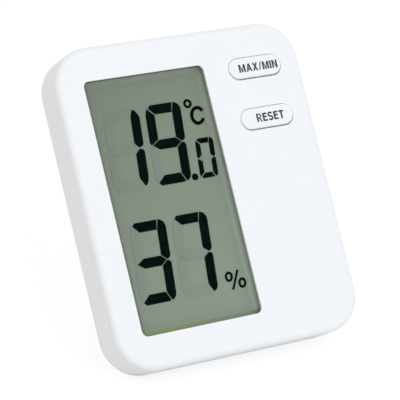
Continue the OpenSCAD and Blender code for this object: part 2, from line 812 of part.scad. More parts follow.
// Recess for the folded leg, the turning room of its heel, and the pin holes
module recess_cuts() {
    block([-recess_half_w, recess_floor_y, recess_bottom_z],
        [2 * recess_half_w, case_d, pivot_z - recess_bottom_z]);
    block([-recess_half_w, pivot_y, pivot_z - cut],
        [2 * recess_half_w, case_d, heel_sweep_r + cut]);
    intersection() {
        translate([-recess_half_w, pivot_y, pivot_z])
            rotate([0, 90, 0])
                cylinder(r = heel_sweep_r, h = 2 * recess_half_w);
        // Everything in front of the stop face that the open heel bears on
        translate([0, pivot_y, pivot_z])
            rotate([stand_swing, 0, 0])
                block([-case_w, -leg_t / 2 - stop_gap, -case_h], [2 * case_w, case_h, 2 * case_h]);
    }
    translate([-leg_w / 2 - pin_l - room, pivot_y, pivot_z])
        rotate([0, 90, 0])
            cylinder(r = pin_r + pin_gap, h = leg_w + 2 * (pin_l + room));
    // Scoop behind the finger notch
    bar_y(0, recess_floor_y - scoop_d, recess_bottom_z + 1.3 * notch_r, notch_r, scoop_d + cut);
}

// Keyhole for a wall screw
module keyhole_cut() {
    bar_y(0, back_in_y - cut, case_h - keyhole_top, keyhole_r, back_wall + 2 * cut);
    slice(back_in_y - cut, back_wall + 2 * cut)
        translate([-keyhole_slot_r, case_h - keyhole_top])
            square([2 * keyhole_slot_r, keyhole_rise]);
    bar_y(0, back_in_y - cut, case_h - keyhole_top + keyhole_rise, keyhole_slot_r, back_wall + 2 * cut);
}

// Clear pane that lies in the rebate of the window
module display_window() color("lightcyan", 0.4) leaning()
    slice(window_recess, pane_t)
        round_rect(window_x, window_z, window_w + 2 * pane_margin, window_h + 2 * pane_margin,
            window_r - pane_gap);

// Plain layer of the display, as tall and wide as the glass
module display_layer(y, t, extra_w)
    block([window_x - glass_w / 2, y, window_z - glass_h / 2], [glass_w + extra_w, t, glass_h]);

module lcd_front_polariser() color("honeydew", 0.3) leaning()
    display_layer(front_wall, polariser_t, 0);

module lcd_front_glass() color("lightcyan", 0.3) leaning()
    display_layer(front_glass_y, glass_t, contact_ledge);

module lcd_rear_glass() color("lightcyan", 0.3) leaning()
    display_layer(back_glass_y, glass_t, 0);

module lcd_reflector() color([0.56, 0.6, 0.52]) leaning()
    display_layer(reflector_y, reflector_t, 0);

// Outline points of one segment: c and r are the columns' and rows' distance from the digit's
// centre, s is half the stroke, q half the gap; all points lean over by the slant
function lean_over(points) = [for (p = points) [p[0] + p[1] * tan(slant), p[1]]];
function arc(x, z, r, from, to, steps) = [
    for (i = [0 : steps])
        let (a = from + (to - from) * i / steps)
        [x + r * cos(a), z + r * sin(a)]
];
function top_bar(c, r, s, q) = [
    [-c - 0.28 * s, r + 0.4 * s],
    [-c + 0.2 * s, r + s],
    [c - s - q + 0.3 * s, r + s],
    [c - s - q, r - s],
    [-c + s + 1.4 * q, r - s]
];
function bottom_bar(c, r, s, q) = [
    [-c - 0.28 * s, -r - 0.4 * s],
    [-c + s + 1.4 * q, -r + s],
    [c - s - 2.6 * q, -r + s],
    [c - 2.8 * q, -r - 0.7 * s],
    [c - 0.4 * s - q, -r - s],
    [-c + 0.3 * s, -r - s]
];
function middle_bar(c, s, q) = [
    [-c - 0.35 * s, 0],
    [-c + s + q, s],
    [c - s - 2 * q, s],
    [c + 0.05 * s, 0],
    [c - s - 2 * q, -s],
    [-c + s + q, -s]
];
// Right-hand column above the middle, which takes the whole rounded corner
function upper_right(c, r, s, q) = concat(
    [[c + 0.18 * s, 0.1 * s], [c - s, s + 0.3 * q], [c - s, r - s]],
    arc(c - 0.8 * s, r - 0.8 * s, 1.8 * s, acos((0.1 * s + q) / (1.8 * s)), 0, 6),
    [[c + s, s * 0.6 + q], [c + 0.65 * s, 0.22 * s]]
);
// Left-hand column above the middle, cut off along the end of the top bar
function upper_left(c, r, s, q) = [
    [-c - 0.45 * s - 1.5 * q, r + 0.35 * s],
    [-c + s, r - s - 1.5 * q],
    [-c + s, s + 1.3 * q],
    [-c - 0.45 * s, 0.15 * s],
    [-c - 0.8 * s, 0.28 * s],
    [-c - s, s * 0.6 + q],
    [-c - s, r - 0.9 * s],
    [-c - 0.8 * s, r - 0.1 * s]
];
// Right-hand column below the middle, mitred to the bottom bar
function lower_right(c, r, s, q) = [
    [c - s, -s - 0.3 * q],
    [c + 0.18 * s, -0.1 * s],
    [c + 0.65 * s, -0.22 * s],
    [c + s, -q - s * 0.6],
    [c + s, -r + 0.3 * s],
    [c + 0.8 * s, -r - 0.25 * s],
    [c + 0.45 * s, -r - 0.65 * s],
    [c, -r - 0.85 * s],
    [c - s, -r + s - q]
];
// The first figure's right-hand column, whose two ends are pointed
function pointed_upper_right(c, r, s, q) = [
    [c, q],
    [c - s, s + q],
    [c - s, r - 0.9 * s],
    [c - 0.7 * s, r + 0.1 * s],
    [c - 0.5 * s, r + 0.6 * s],
    [c - 0.2 * s, r + 0.65 * s],
    [c + 0.4 * s, r + 0.1 * s],
    [c + 0.9 * s, r - 0.8 * s],
    [c + s, r - 1.3 * s],
    [c + s, s * 0.6 + q],
    [c + 0.6 * s, q + 0.2 * s]
];
function pointed_lower_right(c, r, s, q) = [
    [c, -q],
    [c + 0.6 * s, -q - 0.2 * s],
    [c + s, -q - s * 0.6],
    [c + s, -r + 1.5 * s],
    [c + 0.85 * s, -r + 0.55 * s],
    [c + 0.35 * s, -r - 0.4 * s],
    [c, -r - 0.4 * s],
    [c - 0.4 * s, -r + 0.3 * s],
    [c - s, -r + 1.3 * s],
    [c - s, -s - q]
];
function flip_z(points) = [for (i = [len(points) - 1 : -1 : 0]) [points[i][0], -points[i][1]]];
function segment_points(name, c, r, s, q, pointed) =
    name == "a" ? top_bar(c, r, s, q) :
    name == "b" ? (pointed ? pointed_upper_right(c, r, s, q) : upper_right(c, r, s, q)) :
    name == "c" ? (pointed ? pointed_lower_right(c, r, s, q) : lower_right(c, r, s, q)) :
    name == "d" ? bottom_bar(c, r, s, q) :
    name == "e" ? flip_z(upper_left(c, r, s, q)) :
    name == "f" ? upper_left(c, r, s, q) :
    middle_bar(c, s, q);

// Segments of one digit, centred at x and z in the window's frame
module segments(names, x, z, w, h, stroke, pointed)
    for (name = names)
        slice(segment_y, segment_t)
            translate([window_x + x, window_z + z])
                polygon(lean_over(segment_points(name, (w - stroke) / 2, (h - stroke) / 2,
                    stroke / 2, segment_gap / 2, pointed)));

module large_digit(names, x, z, pointed = false)
    segments(names, x, z, digit_w, digit_h, digit_stroke, pointed);

module small_digit(names)
    segments(names, small_x, small_z, small_digit_w, small_digit_h, small_stroke, false);

function lit(value) = SEGMENTS_OF[value];
function idle(value) = [
    for (name = ALL_SEGMENTS)
        if (!has(SEGMENTS_OF[value], name))
            name
];
function has(list, name) = len([for (item = list) if (item == name) 1]) > 0;

// Oval ring that leans over by the slant
function oval(half_x, half_z, from, to, steps) = [
    for (i = [0 : steps])
        let (a = from + (to - from) * i / steps)
        [half_x * cos(a), half_z * sin(a)]
];
module oval_ring(at, half_x, half_z, stroke)
    slice(segment_y, segment_t)
        translate([window_x + at[0], window_z + at[1]])
            difference() {
                polygon(lean_over(oval(half_x, half_z, 0, 350, 35)));
                polygon(lean_over(oval(half_x - stroke, half_z - stroke, 0, 350, 35)));
            }

// Degree ring, unit letter and percent sign
module unit_signs() {
    difference() {
        bar_y(window_x + degree_x, segment_y, window_z + degree_z, degree_ring_r, segment_t);
        bar_y(window_x + degree_x, segment_y - cut, window_z + degree_z, degree_hole_r, 2 * cut);
    }
    slice(segment_y, segment_t)
        translate([window_x + unit_x, window_z + unit_z])
            polygon(lean_over(concat(
                oval(unit_half_w, unit_half_h, unit_mouth, 360 - unit_mouth, 30),
                oval(unit_half_w - unit_stroke, unit_half_h - unit_stroke,
                    360 - unit_inner_mouth, unit_inner_mouth, 30))));
    oval_ring(percent_left, percent_ring_x, percent_ring_z, percent_stroke);
    oval_ring(percent_right, percent_ring_x, percent_ring_z, percent_stroke);
    slice(segment_y, segment_t)
        translate([window_x, window_z])
            polygon([
                percent_bar_foot - [percent_stroke / 2, 0],
                percent_bar_foot + [percent_stroke / 2, 0],
                percent_bar_top + [percent_stroke / 2, 0],
                percent_bar_top - [percent_stroke / 2, 0]
            ]);
}

// Dark figures between the two glasses
module lcd_lit_segments() color([0.08, 0.11, 0.11]) leaning() {
    large_digit(lit(temperature_tens), tens_x, upper_row, true);
    large_digit(lit(temperature_units), units_x, upper_row);
    small_digit(lit(temperature_tenths));
    large_digit(lit(humidity_tens), tens_x, -lower_row);
    large_digit(lit(humidity_units), units_x, -lower_row);
    bar_y(window_x + point_x, segment_y, window_z + point_z, point_r, segment_t);
    unit_signs();
}

// Segments that are switched off, which still show faintly
module lcd_idle_segments() color([0.5, 0.56, 0.52]) leaning() {
    large_digit(idle(temperature_tens), tens_x, upper_row, true);
    large_digit(idle(temperature_units), units_x, upper_row);
    small_digit(idle(temperature_tenths));
    large_digit(idle(humidity_tens), tens_x, -lower_row);
    large_digit(idle(humidity_units), units_x, -lower_row);
}

// Frame that presses the glass against the pane from behind
module lcd_holder() color("whitesmoke") leaning()
    difference() {
        display_layer(holder_y, holder_d, 0);
        block([window_x - glass_w / 2 + holder_bar, holder_y - cut, window_z - glass_h / 2 + holder_bar],
            [glass_w - 2 * holder_bar, holder_d + 2 * cut, glass_h - 2 * holder_bar]);
    }

// Conductive rubber strip from the front glass's ledge to the board
module lcd_rubber_strip() color("dimgray") leaning()
    block([strip_x - strip_t / 2, segment_y, window_z - strip_l / 2],
        [strip_t, board_y - segment_y, strip_l]);

// Circuit board with a wing behind the buttons
module main_board() color("seagreen") leaning()
    difference() {
        slice(board_y, board_t) {
            round_rect((board_left_x + board_right_x) / 2, (board_bottom + board_top_z) / 2,
                board_right_x - board_left_x, board_top_z - board_bottom, board_r);
            round_rect((wing_right_x + board_right_x) / 2 - board_r, wing_top_z - wing_h / 2,
                wing_right_x - board_right_x + 2 * board_r, wing_h, board_r);
        }
        for (p = BOARD_POSTS)
            bar_y(p[0], board_y - cut, p[1], board_screw_r + screw_gap, board_t + 2 * cut);
    }

// Round black cap of resin over the chip, in the middle behind the display
module chip_cap() color([0.1, 0.1, 0.11]) leaning()
    translate([window_x + chip_at[0], board_back_y, window_z + chip_at[1]])
        rotate([-90, 0, 0])
            intersection() {
                translate([0, 0, blob_h - blob_ball_r])
                    sphere(blob_ball_r, $fn = 192);
                cylinder(r = blob_r + cut, h = blob_h + cut);
            }

// Small quartz crystal lying on the board
module quartz_crystal() color("silver") leaning()
    translate([window_x + crystal_at[0], board_back_y + crystal_r, window_z + crystal_at[1]])
        rotate([0, 90, 0])
            cylinder(r = crystal_r, h = crystal_l);

// Round capacitor standing on the board
module round_capacitor() color("midnightblue") leaning()
    bar_y(window_x + capacitor_at[0], board_back_y, window_z + capacitor_at[1], capacitor_r, capacitor_h);

// Small surface-mounted parts beside the chip
module chip_parts() color("tan") leaning() {
    for (i = [0 : 4])
        block([window_x + upper_chips_at[0] + i * chip_step, board_back_y, window_z + upper_chips_at[1]],
            [chip_l, chip_t, chip_w]);
    for (i = [0 : 3])
        block([window_x + lower_chips_at[0], board_back_y, window_z + lower_chips_at[1] - i * chip_step],
            [chip_w, chip_t, chip_l]);
}

// Humidity sensor in a slotted housing, below the vents
module humidity_sensor() color("gainsboro") leaning()
    difference() {
        block([cap_x - sensor_w / 2, board_back_y, sensor_z - sensor_h / 2], [sensor_w, sensor_t, sensor_h]);
        for (i = [-1 : 1])
            block([cap_x - sensor_w / 2 + sensor_rim, board_back_y + sensor_t / 2,
                    sensor_z + i * sensor_slot_pitch - sensor_slot_h / 2],
                [sensor_w - 2 * sensor_rim, sensor_t, sensor_slot_h]);
    }

// Thermistor bead on its two legs
module temperature_sensor() color("darkslategray") leaning() {
    translate([bead_x, bead_y, sensor_z])
        sphere(bead_r);
    for (s = [-1, 1])
        bar_y(bead_x + s * bead_leg_pitch / 2, board_back_y, sensor_z, bead_leg_r, bead_y - board_back_y);
}

// Pan-head screw whose head is seated at depth y, with a cross recess
module pan_screw(x, y, z, r, l, head_r, head_h)
    difference() {
        union() {
            bar_y(x, y - l, z, r, l + weld);
            bar_y(x, y, z, head_r, head_h);
        }
        for (a = [0, 90])
            translate([x, y + head_h, z])
                rotate([0, a, 0])
                    cube([head_r * 1.2, head_h, head_r * 0.3], center = true);
    }

// Five screws that hold the board
module board_screws() color("silver") leaning()
    for (p = BOARD_POSTS)
        pan_screw(p[0], board_back_y, p[1], board_screw_r, board_screw_l, board_head_r, board_head_h);

// Four screws that hold the halves together
module case_screws() color("silver") leaning()
    for (p = CASE_POSTS)
        pan_screw(p[0], back_in_y, p[1], case_screw_r, case_screw_l, case_head_r, case_head_h);

// Button cap with its flange and plunger
module button(z) color("white") leaning() {
    rounded_slab(cap_x, z, cap_w, cap_h, -cap_rise, cap_rise + flange_y + weld,
        cap_h / 2, cap_round, 0);
    slice(flange_y, flange_t)
        round_rect(cap_x, z, cap_w + 2 * flange_reach, cap_h + 2 * flange_reach,
            cap_h / 2 + flange_reach);
    bar_y(cap_x, plunger_y - weld, z, plunger_r, plunger_l + weld);
}
module max_min_button() button(upper_cap_z);
module reset_button() button(lower_cap_z);

// Rubber key pad: a flat base on the board and a dome up to the plunger
module key_pad(z) color("lightgray") leaning() {
    bar_y(cap_x, board_y - pad_base_t, z, pad_r, pad_base_t);
    translate([cap_x, board_y - pad_base_t + weld, z])
        rotate([90, 0, 0])
            cylinder(r1 = pad_r - 0.6, r2 = plunger_r, h = board_y - pad_base_t + weld - pad_tip_y);
}
module max_min_pad() key_pad(upper_cap_z);
module reset_pad() key_pad(lower_cap_z);

// Cell, upright, with its button upwards
module battery() color("darkslateblue") leaning()
    translate([cell_x, cell_y, cell_z]) {
        cylinder(r = cell_r, h = cell_l - cell_button_h);
        cylinder(r = cell_button_r, h = cell_l);
    }

// Contact plate across the bay with a lug through the bay's wall
module contact_plate(z) {
    block([cell_x - plate_w / 2, cell_y - plate_h / 2, z], [plate_w, plate_h, contact_t]);
    block([bay_left_x - lug_reach, lug_y, z],
        [bay_half_w + bay_wall + lug_reach, lug_w, contact_t]);
}
module battery_plate_positive() color("silver") leaning()
    contact_plate(bay_top_z - contact_t);
module battery_plate_negative() color("silver") leaning()
    contact_plate(bay_bottom);

// Cone-shaped spring between the lower plate and the cell
module battery_spring() color("silver") leaning()
    tube([
        for (i = [0 : spring_turns * spring_steps])
            let (
                t = i / (spring_turns * spring_steps),
                a = 360 * i / spring_steps,
                r = spring_foot_r + (spring_top_r - spring_foot_r) * t
            )
            [cell_x + r * cos(a), cell_y + r * sin(a),
                bay_bottom + contact_t + spring_wire_r + (spring_h - 2 * spring_wire_r) * t]
    ], spring_wire_r, 8, [0, 0, 1]);

// Insulated leads from the lugs to the board
module lead(z, way)
    tube(bend(
        [lug_x, lug_y + lug_w / 2, z],
        [lug_x, lug_y + lug_w / 2, z + way * lead_start],
        [lug_x - lead_in, board_back_y + lead_rise, z + way * lead_drop],
        [lug_x - lead_in, board_back_y + play, z + way * lead_drop], 12), lead_r, 8, [1, 0, 0]);
module lead_red() color("firebrick") leaning()
    lead(bay_top_z - contact_t, -1);
module lead_black() color([0.12, 0.12, 0.12]) leaning()
    lead(bay_bottom + contact_t, 1);

// Battery cover with its two toes and its rounded lower edge, notched for the latch
module battery_cover() color("white") leaning() {
    difference() {
        union() {
            block([cell_x - cover_w / 2, cover_y, cover_pivot_z],
                [cover_w, cover_t, cover_top_z - cover_pivot_z]);
            translate([cell_x - cover_w / 2, cover_pivot_y, cover_pivot_z])
                rotate([0, 90, 0])
                    cylinder(r = cover_t / 2, h = cover_w);
        }
        block([cell_x - latch_w / 2 - 2 * play, cover_y - cut, latch_z],
            [latch_w + 4 * play, cover_t + 2 * cut, latch_h + cut]);
    }
    for (s = [-1, 1]) {
        block([cell_x + s * toe_pitch / 2 - toe_w / 2, toe_y, cover_bottom],
            [toe_w, cover_y - toe_y + weld, toe_root]);
        block([cell_x + s * toe_pitch / 2 - toe_w / 2, toe_y, cover_bottom - toe_reach],
            [toe_w, toe_t, toe_reach + weld]);
    }
}

// Sprung latch of the cover: a loop of thin wall with a hook behind the back wall
module battery_cover_latch() color("white") leaning()
    side_slice(cell_x, latch_w) {
        // Root on the cover's edge and the inner limb of the loop
        translate([latch_back_y, latch_z])
            square([case_d - 2 * play - latch_back_y, latch_t]);
        // Bottom of the loop
        translate([latch_back_y, latch_z])
            square([latch_t, latch_h - latch_stroke]);
        // Outer limb
        translate([latch_back_y, latch_z + latch_h - latch_stroke - latch_t])
            square([case_d - 2 * play - latch_back_y, latch_t]);
        // Hook
        translate([back_in_y - 2 * play - latch_t, latch_z + latch_h - latch_stroke - weld])
            square([latch_t, latch_stroke + weld + latch_hook]);
        // Pad for the fingertip
        translate([case_d - 2 * play - latch_t, latch_z + latch_h - latch_stroke - weld])
            square([latch_t, latch_pad + weld]);
    }

// Folding leg with two pivot pins and a heel, shown open
module stand() color("white") leaning()
    translate([leg_x, pivot_y, pivot_z])
        rotate([stand_swing, 0, 0])
            difference() {
                union() {
                    block([-leg_w / 2, -leg_t / 2, -leg_l], [leg_w, leg_t, leg_l + heel_l]);
                    translate([-leg_w / 2, 0, -leg_l])
                        rotate([0, 90, 0])
                            cylinder(r = foot_r, h = leg_w);
                    translate([-leg_w / 2 - pin_l, 0, 0])
                        rotate([0, 90, 0])
                            cylinder(r = pin_r, h = leg_w + 2 * pin_l);
                }
                bar_y(0, -leg_t, -leg_l - foot_r, notch_r, 2 * leg_t);
            }

front_case();
rear_case();
display_window();
lcd_front_polariser();
lcd_front_glass();
lcd_lit_segments();
lcd_idle_segments();
lcd_rear_glass();
lcd_reflector();
lcd_holder();
lcd_rubber_strip();
main_board();
chip_cap();
quartz_crystal();
round_capacitor();
chip_parts();
humidity_sensor();
temperature_sensor();
board_screws();
max_min_button();
reset_button();
max_min_pad();
reset_pad();
battery();
battery_plate_positive();
battery_plate_negative();
battery_spring();
lead_red();
lead_black();
battery_cover();
battery_cover_latch();
stand();
case_screws();
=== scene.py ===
"""Looks of a digital thermo-hygrometer that leans back on its fold-out leg."""
import json
import math

import bmesh
import bpy
from mathutils import Matrix, Vector


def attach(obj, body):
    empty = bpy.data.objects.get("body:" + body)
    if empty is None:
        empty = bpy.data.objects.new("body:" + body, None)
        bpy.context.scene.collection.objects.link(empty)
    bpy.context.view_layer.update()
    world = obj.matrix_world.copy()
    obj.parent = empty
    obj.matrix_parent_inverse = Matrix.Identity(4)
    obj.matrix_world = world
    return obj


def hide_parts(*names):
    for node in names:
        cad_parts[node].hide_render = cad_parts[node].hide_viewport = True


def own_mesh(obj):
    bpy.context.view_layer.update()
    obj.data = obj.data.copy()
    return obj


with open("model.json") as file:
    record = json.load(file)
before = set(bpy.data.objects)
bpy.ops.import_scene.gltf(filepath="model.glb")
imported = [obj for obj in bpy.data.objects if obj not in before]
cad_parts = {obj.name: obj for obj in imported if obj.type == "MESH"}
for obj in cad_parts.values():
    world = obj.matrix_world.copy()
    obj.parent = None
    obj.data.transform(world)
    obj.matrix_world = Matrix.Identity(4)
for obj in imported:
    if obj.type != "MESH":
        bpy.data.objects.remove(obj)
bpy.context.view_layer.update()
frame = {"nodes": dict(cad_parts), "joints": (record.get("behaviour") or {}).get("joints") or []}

nodes = frame["nodes"]

# Front half of the case: a deep tray of white ABS with the window and the two button holes.
# It is injection moulded in a spark-eroded mould, which leaves a fine satin grain, and every
# outer edge comes out of the mould a little rounded.
MM = 0.001
press = next(j for j in frame["joints"] if j["name"] == "max_min_press")
case_right = Vector((1, 0, 0))
case_back = Vector(press["axis"])
case_up = case_right.cross(case_back)
front_points = [v.co for v in nodes["front_case"].data.vertices]
front_plane = min(p.dot(case_back) for p in front_points)
bottom_plane = min(p.dot(case_up) for p in front_points)


def in_case(x, y, z):
    """The point x to the right, y behind the front face and z above the case's bottom, in millimetres."""
    return case_right * x * MM + case_back * (front_plane + y * MM) + case_up * (bottom_plane + z * MM)


def even_faces(node):
    """Shades a CAD node smoothly and joins its flat faces."""
    weld_reach, flat_within = 0.002 * MM, math.radians(0.4)
    node.data.shade_smooth()
    weld = node.modifiers.new("weld", "WELD")
    weld.merge_threshold = weld_reach
    join = node.modifiers.new("joined flat faces", "DECIMATE")
    join.decimate_type = "DISSOLVE"
    join.angle_limit = flat_within


def keep_crisp(name):
    """Even shading that stops at a CAD node's sharp edges and leaves its curves smooth."""
    sharp_from = math.radians(30)
    node = nodes[name]
    even_faces(node)
    split = node.modifiers.new("sharp edges", "EDGE_SPLIT")
    split.split_angle = sharp_from
    node.modifiers.new("even shading", "WEIGHTED_NORMAL")


def new_material(name):
    """A material with its Principled shader, and its node tree."""
    material = bpy.data.materials.new(name)
    material.use_nodes = True
    return material, material.node_tree, material.node_tree.nodes["Principled BSDF"]


def add_node(tree, kind, links=(), **values):
    """A node of that kind with some input values set, fed by the (output, input name) pairs."""
    node = tree.nodes.new(kind)
    for key, value in values.items():
        node.inputs[key.replace("_", " ")].default_value = value
    for output, key in links:
        tree.links.new(output, node.inputs[key])
    return node


def noise(tree, size, detail=2.0, stretch=(1, 1, 1)):
    """Noise from 0 to 1 whose grains are about size millimetres across."""
    place = tree.nodes.new("ShaderNodeTexCoord")
    mapping = add_node(tree, "ShaderNodeMapping", [(place.outputs["Object"], "Vector")], Scale=stretch)
    grain = add_node(tree, "ShaderNodeTexNoise", [(mapping.outputs["Vector"], "Vector")],
                     Scale=1 / (size * MM), Detail=detail)
    return grain.outputs["Fac"]


def spread(tree, value, low, high, low_in=0.3, high_in=0.7):
    """Maps a value's middle range onto low to high."""
    ranged = add_node(tree, "ShaderNodeMapRange", [(value, "Value")],
                      From_Min=low_in, From_Max=high_in, To_Min=low, To_Max=high)
    return ranged.outputs["Result"]


def mix_colour(tree, factor, first, second):
    """A colour between first and second, which are colours or other nodes' outputs."""
    mix = tree.nodes.new("ShaderNodeMix")
    mix.data_type = "RGBA"
    tree.links.new(factor, mix.inputs["Factor"])
    for socket, colour in ((mix.inputs[6], first), (mix.inputs[7], second)):
        if isinstance(colour, tuple):
            socket.default_value = (*colour, 1)
        else:
            tree.links.new(colour, socket)
    return mix.outputs[2]


def relief(tree, shader, height, depth):
    """Bump of that depth in millimetres."""
    bump = add_node(tree, "ShaderNodeBump", [(height, "Height")], Distance=depth * MM)
    tree.links.new(bump.outputs["Normal"], shader.inputs["Normal"])


def moulded_plastic(name, colour, drift, roughness, grain, depth):
    """Moulded plastic: colour that drifts a little towards drift, and grain of that size and depth."""
    flow_size, octaves = 14, 3
    smoother, rougher = 0.05, 0.07
    material, tree, shader = new_material(name)
    flow = mix_colour(tree, noise(tree, flow_size, octaves), colour, drift)
    tree.links.new(flow, shader.inputs["Base Color"])
    fine = noise(tree, grain, octaves)
    varied = spread(tree, fine, roughness - smoother, roughness + rougher)
    tree.links.new(varied, shader.inputs["Roughness"])
    relief(tree, shader, fine, depth)
    return material


def finish(material, *names):
    """Gives CAD nodes that material."""
    for name in names:
        nodes[name].data.materials.clear()
        nodes[name].data.materials.append(material)


white_abs = moulded_plastic("white satin ABS", (0.862, 0.89, 0.918), (0.878, 0.904, 0.932),
                            roughness=0.5, grain=0.14, depth=0.006)
keep_crisp("front_case")
finish(white_abs, "front_case")

# Back half of the case: a shallow ABS cover with the battery bay, the leg's recess, the keyhole
# and the vents. It is moulded and grained as the front half is, and four screws hold it.
keep_crisp("rear_case")
finish(white_abs, "rear_case")

# Window: a clear acrylic pane, laser cut, that lies in the front's rebate behind the opening.
# It is glossy, with the faintest haze of fine wiping marks.
pane_margin = 1.5


def clear_sheet(name, tint, roughness, ior, marks):
    """Clear sheet that lets the view through straight and reflects as its index says, outside only."""
    wiped_across, octaves, hazier = (0.2, 1, 1), 4, 0.06
    material, tree, shader = new_material(name)
    shader.inputs["Base Color"].default_value = (0, 0, 0, 1)
    shader.inputs["IOR"].default_value = ior
    wiped = noise(tree, marks, octaves, stretch=wiped_across)
    tree.links.new(spread(tree, wiped, roughness, roughness + hazier), shader.inputs["Roughness"])
    through = add_node(tree, "ShaderNodeBsdfTransparent", Color=(*tint, 1))
    mirrored = add_node(tree, "ShaderNodeFresnel", IOR=ior)
    side = tree.nodes.new("ShaderNodeNewGeometry")
    outside = add_node(tree, "ShaderNodeMath",
                       [(mirrored.outputs["Fac"], 0), (side.outputs["Backfacing"], 1)])
    outside.operation = "SUBTRACT"
    outside.use_clamp = True
    both = tree.nodes.new("ShaderNodeMixShader")
    tree.links.new(outside.outputs["Value"], both.inputs["Fac"])
    tree.links.new(through.outputs["BSDF"], both.inputs[1])
    tree.links.new(shader.outputs["BSDF"], both.inputs[2])
    tree.links.new(both.outputs["Shader"], tree.nodes["Material Output"].inputs["Surface"])
    return material


def let_light_through(*names):
    """Clear layers cast no shadow on what lies behind them."""
    for name in names:
        nodes[name].visible_shadow = False
        nodes[name].visible_diffuse = False


clear_acrylic = clear_sheet("clear acrylic", (0.985, 0.99, 0.985), roughness=0.03, ior=1.49, marks=1.2)
finish(clear_acrylic, "display_window")
let_light_through("display_window")

# Liquid crystal display: a polarising film, two glasses with the segments between them, and a
# grey-green reflector glued on behind. An epoxy seal runs round between the glasses.
polarising_film = clear_sheet("polarising film", (0.97, 0.975, 0.96), roughness=0.2, ior=1.2, marks=0.3)
display_glass = clear_sheet("display glass", (0.99, 0.995, 0.99), roughness=0.02, ior=1.1, marks=2.0)
finish(polarising_film, "lcd_front_polariser")
finish(display_glass, "lcd_front_glass")
let_light_through("lcd_front_polariser", "lcd_front_glass")


def case_distance(tree, direction, start):
    """How far a point lies from start along one direction of the case, in metres."""
    place = tree.nodes.new("ShaderNodeTexCoord")
    along = add_node(tree, "ShaderNodeVectorMath", [(place.outputs["Object"], 0)])
    along.operation = "DOT_PRODUCT"
    along.inputs[1].default_value = direction
    beyond = add_node(tree, "ShaderNodeMath", [(along.outputs["Value"], 0)])
    beyond.operation = "SUBTRACT"
    beyond.inputs[1].default_value = start
    return beyond.outputs["Value"]


def height_in_case(tree):
    """The height above the case's bottom, in metres, along the leaning case."""
    return case_distance(tree, case_up, bottom_plane)


def inside_frame(tree):
    """How far a point lies within the opening's nearest edge, in metres; negative behind the frame."""
    nearest = None
    for direction in (case_right, case_up):
        reach = [v.co.dot(direction) for v in nodes["display_window"].data.vertices]
        middle = (max(reach) + min(reach)) / 2
        half = (max(reach) - min(reach)) / 2 - pane_margin * MM
        off = add_node(tree, "ShaderNodeMath", [(case_distance(tree, direction, middle), 0)])
        off.operation = "ABSOLUTE"
        within = add_node(tree, "ShaderNodeMath", [(off.outputs["Value"], 1)])
        within.operation = "SUBTRACT"
        within.inputs[0].default_value = half
        if nearest:
            closer = add_node(tree, "ShaderNodeMath", [(nearest, 0), (within.outputs["Value"], 1)])
            closer.operation = "MINIMUM"
            within = closer
        nearest = within.outputs["Value"]
    return nearest


def display_ground(name, tint):
    """Back polariser over its reflector: a fine metallic speckle, with painted light that brightens it
    downwards and to the right, and more painted light towards the opening's edges, which lifts the frame's
    shade there."""
    foot = tuple(c * k for c, k in zip((0.297, 0.351, 0.283), tint))
    head = tuple(c * k for c, k in zip((0.224, 0.259, 0.207), tint))
    foot_at, head_at, leftwards = 4 * MM, 122 * MM, 0.8
    painted_light_gain, brightest_at, even_from = 1.8, -1.6 * MM, 2.1 * MM
    speck, speck_size, speck_share = (0.5, 0.55, 0.5), 0.12, 0.1
    material, tree, shader = new_material(name)
    towards_head = case_up - case_right * leftwards
    # Painted light: the ground's colour grows brighter downwards and to the right.
    share = spread(tree, case_distance(tree, towards_head, bottom_plane), 0, 1, foot_at, head_at)
    even = mix_colour(tree, share, foot, head)
    # Painted light: brighter copies of the ground's colours, laid on towards the opening's edges where the
    # frame casts its shade.
    painted_edge_light = mix_colour(tree, share, tuple(painted_light_gain * c for c in foot), tuple(painted_light_gain * c for c in head))
    painted_light_share = spread(tree, inside_frame(tree), 1, 0, brightest_at, even_from)
    ground = mix_colour(tree, painted_light_share, even, painted_edge_light)
    speckle = mix_colour(tree, spread(tree, noise(tree, speck_size), 0, speck_share), ground, speck)
    tree.links.new(speckle, shader.inputs["Base Color"])
    shader.inputs["Roughness"].default_value = 0.6
    shader.inputs["IOR"].default_value = 1.2
    return material


# The rear glass and the reflector carry the ground's painted light towards the bottom, the right and the
# opening's edges.
finish(display_ground("reflector", (1, 1, 1)), "lcd_rear_glass", "lcd_reflector")


def display_ink(name, colour, drift):
    """Darkened crystal between the glasses."""
    patch_size = 2.5
    material, tree, shader = new_material(name)
    tree.links.new(mix_colour(tree, noise(tree, patch_size), colour, drift), shader.inputs["Base Color"])
    shader.inputs["Roughness"].default_value = 0.7
    shader.inputs["IOR"].default_value = 1.1
    return material


finish(display_ink("lit segments", (0.0008, 0.0035, 0.0035), (0.002, 0.006, 0.0065)), "lcd_lit_segments")
# Idle segments: the reflector's ground, a little darker and bluer. The darkening is partly their own faint
# tone and partly painted shadow that the segments cast on the reflector behind. They carry the ground's
# painted light as well.
finish(display_ground("idle segments", (0.92, 0.915, 0.985)), "lcd_idle_segments")


def case_piece(name, points, faces, material, body):
    """A mesh given in the case's millimetres, which rides on that body."""
    mesh = bpy.data.meshes.new(name)
    mesh.from_pydata([in_case(*point) for point in points], [], faces)
    mesh.materials.append(material)
    piece = bpy.data.objects.new(name, mesh)
    bpy.context.scene.collection.objects.link(piece)
    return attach(piece, body)


